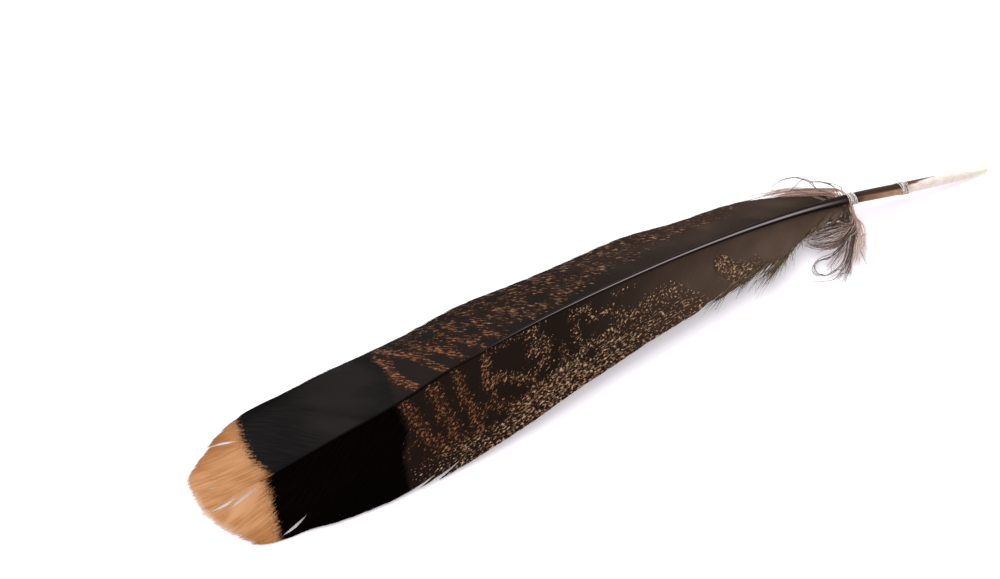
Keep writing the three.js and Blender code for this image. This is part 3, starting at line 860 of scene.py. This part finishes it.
def tube(path, radii, sides, reference=(0.0, 0.0, 1.0)):
    """A closed tube along a path: vertices and faces. Ring 0 points away from the reference."""
    radii = np.broadcast_to(radii, len(path))
    forward = unit(np.gradient(path, axis=0))
    sideways = unit(np.cross(forward, reference))
    up = np.cross(sideways, forward)
    angles = np.arange(sides) * 2 * np.pi / sides
    ring = np.cos(angles)[None, :, None] * sideways[:, None] + np.sin(angles)[None, :, None] * up[:, None]
    body = (path[:, None] + ring * radii[:, None, None]).reshape(-1, 3)
    vertices = np.concatenate([body, path[:1], path[-1:]])
    faces = []
    for i in range(len(path) - 1):
        for k in range(sides):
            a = i * sides + k
            b = i * sides + (k + 1) % sides
            faces.append((a, b, b + sides, a + sides))
    first_cap, last_cap = len(body), len(body) + 1
    last_ring = (len(path) - 1) * sides
    for k in range(sides):
        faces.append((first_cap, (k + 1) % sides, k))
        faces.append((last_cap, last_ring + k, last_ring + (k + 1) % sides))
    return vertices, faces


def joined(parts):
    """Several sets of vertices and faces as one."""
    vertices, faces, first = [], [], 0
    for points, polygons in parts:
        vertices.append(points)
        faces.extend([tuple(first + k for k in face) for face in polygons])
        first += len(points)
    return np.concatenate(vertices), faces


def shaft_material():
    """Pale quill end, brown quill, and a dark glossy rachis that fades into the vane; the pale lines along
    their tops are painted highlights.
    """
    s = Shader("shaft_material")
    place = s.number("place")
    far = s.number("far_side")
    # ridge: how squarely the surface faces the line of the painted highlight.
    ridge = s.number("ridge")
    wobble = s.noise(s.times(place, 0.35), s.times(far, 2), 0, 3)
    shifted = s.plus(place, s.times(s.minus(wobble, 0.5), 6))

    # The ivory end is greenish at its tip, and brown on the far side just outside the outer wrap.
    ivory = s.blend(s.rise(wobble, 0.35, 0.7), (236, 225, 217), (224, 207, 195))
    ivory = s.blend(s.rise(place, 8, 1), ivory, (226, 230, 196))
    patch_edge = s.plus(s.times(shifted, 0.083), -2.25)
    patch = s.times(s.rise(s.plus(far, patch_edge), 0, 0.45), s.rise(shifted, 19, 24))
    tone = s.blend(patch, ivory, (98, 66, 47))

    # Between the wraps the quill is brown above and tan on its near side.
    tan = s.blend(s.rise(wobble, 0.35, 0.7), (178, 144, 118), (152, 118, 96))
    tan = s.blend(s.rise(place, 38, 58), tan, (112, 84, 68))
    brown = s.blend(s.rise(far, -0.68, -0.52), tan, (60, 42, 34))
    # The thin pale line along the top is a painted highlight.
    brown = s.blend(s.rise(ridge, 0.985, 0.998), brown, (118, 88, 72))
    tone = s.blend(s.rise(shifted, 34, 37), tone, brown)

    # From the inner wrap on it is dark, with a painted highlight line along the top as far as the black
    # band.
    dark = s.blend(s.rise(wobble, 0.4, 0.7), (25, 18, 16), (34, 25, 21))
    tone = s.blend(s.rise(shifted, 53, 59), tone, dark)
    # The pale line here is a painted highlight.
    line = s.times(s.rise(ridge, 0.93, 0.998), s.rise(place, 55, 88))
    line = s.times(line, s.rise(place, 228, 152))
    tone = s.blend(s.times(line, 0.95), tone, (154, 142, 141))
    tone = s.blend(s.rise(place, 215, 240), tone, (8, 5, 5))
    tone = s.blend(s.rise(place, 300, 302.5), tone, (128, 82, 48))
    return s.finish(tone, s.plus(0.35, s.times(s.rise(place, 180, 230), 0.44)), 0.06)


def make_shaft():
    """The whole shaft as a smooth tube."""
    stations = np.linspace(0, SHAFT[-1][0], SHAFT_RINGS)
    rows = follow(SHAFT, stations)
    path = rows[:, :3].copy()
    path[:, 2] += SHAFT_LIFT
    vertices, faces = tube(path, rows[:, 3], SHAFT_SIDES)
    angles = np.tile(np.arange(SHAFT_SIDES) * 2 * np.pi / SHAFT_SIDES, SHAFT_RINGS)
    numbers = {
        "place": np.concatenate([np.repeat(stations, SHAFT_SIDES), [stations[0], stations[-1]]]),
        "far_side": np.concatenate([np.cos(angles), [0, 0]]),
        # How squarely each vertex faces the line of the painted highlight.
        "ridge": np.concatenate([np.cos(angles - np.radians(PAINTED_HIGHLIGHT_ANGLE)), [0, 0]]),
    }
    make_piece("shaft", "feather", shaft_material(), vertices, faces, numbers, soft=True)


def curve_through(points, count):
    """A smooth path through points, sampled evenly by number."""
    rows = np.column_stack([np.arange(len(points)), points])
    return follow(rows, np.linspace(0, len(points) - 1, count))[:, 1:]


def barbules(path, rng, size, spacing):
    """Thin pointed hairs on both sides of a strand."""
    forward = unit(np.gradient(path, axis=0))
    length = np.linalg.norm(np.diff(path, axis=0), axis=1).sum()
    parts = []
    for place in np.arange(0.12, 0.98, spacing / max(length, 1)):
        i = place * (len(path) - 1)
        k = int(i)
        base = path[k] + (path[min(k + 1, len(path) - 1)] - path[k]) * (i - k)
        direction = unit(forward[k] + rng.normal(0, 0.9, 3))
        tip = base + direction * size * rng.uniform(0.4, 1.2)
        aside = unit(np.cross(direction, rng.normal(0, 1, 3))) * BARBULE_RADIUS
        lift = unit(np.cross(direction, aside)) * BARBULE_RADIUS
        corners = np.array([base + aside, base - aside * 0.5 + lift, base - aside * 0.5 - lift, tip])
        corners[:, 2] = np.maximum(corners[:, 2], DOWN_CLEARANCE)
        parts.append((corners, [(0, 2, 1), (0, 1, 3), (1, 2, 3), (2, 0, 3)]))
    return parts


def down_material():
    """Grey-brown strands, some of them paler and pinkish, a solid brown foot, and olive hairs."""
    s = Shader("down_material")
    tone = s.noise(s.times("strand", 0.77), 0, 0, 1)
    lightness = s.rise(tone, 0.42, 0.66)
    grey = s.blend(lightness, (56, 38, 33), (170, 143, 130))
    pink = s.blend(lightness, (190, 150, 134), (240, 221, 211))
    olive = s.blend(lightness, (56, 44, 34), (142, 124, 96))
    tone = s.blend("pinkness", grey, pink)
    tone = s.blend(s.times("pinkness", SOLID), tone, (62, 49, 40))
    return s.finish(s.blend("oliveness", tone, olive), 0.75, 0.2)


def tuft_paths(rng):
    """The paths of all strands of the tufts: path, thickness, pinkness and barbule length."""
    for strands, spread, thickness, pinkish, root, points in DOWN_TUFTS:
        solid = pinkish == SOLID
        for strand in range(strands):
            if strand % STRANDS_PER_LOCK == 0:
                lock_aside = rng.normal(0, spread, 3)
                lock_waves = rng.normal(0, 0.5 * spread, 3)
                rate = rng.uniform(4, 14)
                phase = rng.uniform(0, 6, 3)
            start = follow(SHAFT, root + rng.uniform(-1.2, 1.2))[:3]
            guide = curve_through([start, *points], 14 if len(points) < 5 else 26)
            t = np.linspace(0, 1, len(guide))[:, None]
            own_aside = rng.normal(0, (0.6 if solid else 0.25) * spread, 3)
            aside = (lock_aside * (0.4 + t) + own_aside) * STRAY_SHARES
            own_rate = rate + rng.normal(0, 0.8)
            own_waves = lock_waves + rng.normal(0, 0.15 * spread, 3)
            path = guide + aside * np.minimum(t * 3, 1) + np.sin(t * own_rate + phase) * own_waves * t
            path = path[: int(len(path) * rng.uniform(0.88, 1.02))]
            pink = SOLID if solid else np.clip(pinkish + rng.normal(0, 0.15), 0, 1)
            yield path, thickness * rng.uniform(0.6, 1.0), pink, 0.0 if solid else BARBULE_LENGTH


def hair_paths(rng):
    """The same for the hairs that stand out of the near edge."""
    for first_root, last_root, number, past in EDGE_HAIRS:
        for _ in range(number):
            root = rng.uniform(first_root, last_root)
            along = np.linspace(rng.uniform(0.65, 0.93), 1.0 + rng.uniform(0.2, 1.0) * past, 14)
            path = vane_surface(NEAR_BARBS, root + rng.normal(0, 1.2) * along**3, along)
            out = np.clip(along - 0.9, 0, None)[:, None]
            path = path + out * rng.normal(0, 9, 3) * STRAY_SHARES
            path[:, 2] += 0.15 - out[:, 0] * 8
            yield path, HAIR_THICKNESS, 0.0, BARBULE_LENGTH


def make_down():
    """Loose curling strands with barbules, in tufts round the foot of the vanes."""
    rng = np.random.default_rng(41)
    parts, owners, looks = [], [], []
    strands = [(*row, 0.0) for row in tuft_paths(rng)] + [(*row, 1.0) for row in hair_paths(rng)]
    for number, (path, thickness, pink, barbule, olive) in enumerate(strands):
        path[:, 2] = np.maximum(path[:, 2], 0.3)
        radii = np.linspace(thickness, 0.03, len(path))
        hairs = barbules(path, rng, barbule, BARBULE_SPACING) if barbule > 0 else []
        looks.append((number, pink, olive))
        for part in [tube(path, radii, 3), *hairs]:
            parts.append(part)
            owners.append(np.full(len(part[0]), number))
    vertices, faces = joined(parts)
    vertices[:, 2] = np.maximum(vertices[:, 2], DOWN_CLEARANCE)
    columns = np.array(looks)[np.concatenate(owners)].T
    numbers = dict(zip(("strand", "pinkness", "oliveness"), columns))
    make_piece("down", "feather", down_material(), vertices, faces, numbers)


def thread_material():
    """Whitish thread, painted greyer in patches along its turns where it is slightly see-through."""
    s = Shader("thread_material")
    tone = s.noise(s.times("place", 3), 0, 0, 2)
    return s.finish(s.blend(s.rise(tone, 0.35, 0.65), (236, 231, 228), (176, 160, 150)), 0.35, 0.5)


def make_wrap(name, node, middle, turns, seed):
    """Thread wound round the quill in layers that cross, with a loose end."""
    rng = np.random.default_rng(seed)
    parts, places = [], []
    for layer in range(WRAP_LAYERS):
        angle = np.linspace(0, 2 * np.pi * turns, turns * POINTS_PER_TURN) + layer * 2.1
        sweep = np.linspace(-1, 1, len(angle)) * (1 if layer % 2 == 0 else -1)
        x = middle + sweep * WRAP_HALF_WIDTH + np.sin(angle * 0.5 + layer) * 0.35
        rows = follow(SHAFT, x)
        radius = rows[:, 3] + 0.14 + 0.08 * layer
        ring = np.column_stack([np.zeros_like(x), np.cos(angle) * radius, np.sin(angle) * radius])
        thread = THREAD_RADIUS + rng.uniform(0, 0.04)
        parts.append(tube(rows[:, :3] + ring, thread, THREAD_SIDES, reference=(1.0, 0.02, 0.0)))
        places.append(np.concatenate([np.repeat(angle, THREAD_SIDES), angle[:1], angle[-1:]]))
    # A short loose end on the near side.
    quill = follow(SHAFT, middle - 1.6)
    bend = np.linspace(0, 1, 8)[:, None]
    loose_end = quill[:3] + (0, quill[3] + 0.2, 0) + bend * (-1.6, 1.0, 0.2) + bend**2 * (0.5, 0.6, -0.9)
    parts.append(tube(loose_end, np.linspace(THREAD_RADIUS, 0.05, 8), THREAD_SIDES))
    places.append(np.zeros(len(parts[-1][0])))
    vertices, faces = joined(parts)
    numbers = {"place": np.concatenate(places)}
    make_piece(name, node, thread_material(), vertices, faces, numbers, soft=True)


def make_floor():
    """A pale floor under the feather."""
    s = Shader("floor_material")
    s.surface.inputs["Emission Color"].default_value = (0.95, 0.905, 0.96, 1.0)
    s.surface.inputs["Emission Strength"].default_value = 0.32
    side = 6.0
    corners = [(-side, -side, 0), (side, -side, 0), (side, side, 0), (-side, side, 0)]
    mesh = bpy.data.meshes.new("floor")
    mesh.from_pydata(corners, [], [(0, 1, 2, 3)])
    mesh.materials.append(s.finish((228, 226, 230), 0.9, 0.0))
    floor = add_object("floor", mesh)
    floor.location.z = -0.0001


def add_light(name, place, size, power):
    """A square area light that faces the feather."""
    lamp = bpy.data.lights.new(name, "AREA")
    lamp.shape = "SQUARE"
    lamp.size = size
    lamp.energy = power
    light = add_object(name, lamp)
    light.location = place
    light.rotation_euler = (-Vector(place)).to_track_quat("-Z", "Y").to_euler()


def light_scene():
    """Soft studio light from above and behind, with an even pale surround."""
    world = bpy.data.worlds.new("studio")
    world.use_nodes = True
    background = world.node_tree.nodes["Background"]
    background.inputs["Color"].default_value = (1.0, 0.99, 1.0, 1.0)
    background.inputs["Strength"].default_value = 0.85
    bpy.context.scene.world = world
    add_light("back_softbox", (0.0, -1.5, 1.5), 1.4, 26.0)
    add_light("top_softbox", (0.5, -0.3, 1.9), 1.0, 8.0)


def aim_camera():
    """The camera of the photo, above the near side and turned toward the tip."""
    looking = Vector(CAMERA_LOOKING).normalized()
    right = Vector(CAMERA_RIGHT).normalized()
    turn = Matrix((right, right.cross(looking), -looking)).transposed().to_4x4()
    camera = add_object("camera", bpy.data.cameras.new("camera"))
    camera.matrix_world = Matrix.Translation(Vector(CAMERA_PLACE)) @ turn
    camera.data.sensor_width = 36.0
    camera.data.lens = CAMERA_LENS
    camera.data.clip_start = 0.01
    bpy.context.scene.camera = camera


make_vane(
    "near_vane", NEAR_BARBS, NEAR_NOTCHES, NEAR_STEPS, NEAR_SIDE, NEAR_BARS, NEAR_MARGIN, NEAR_BLOTCHES, 7
)
make_vane("far_vane", FAR_BARBS, FAR_NOTCHES, FAR_STEPS, FAR_SIDE, FAR_BARS, FAR_MARGIN, FAR_BLOTCHES, 8)
make_shaft()
make_down()
make_wrap("inner_wrap_thread", "inner_thread_wrap", 58.8, 4, 3)
make_wrap("outer_wrap_thread", "outer_thread_wrap", 37.2, 3, 4)
make_floor()
light_scene()
aim_camera()
bpy.context.scene.view_settings.view_transform = "Standard"
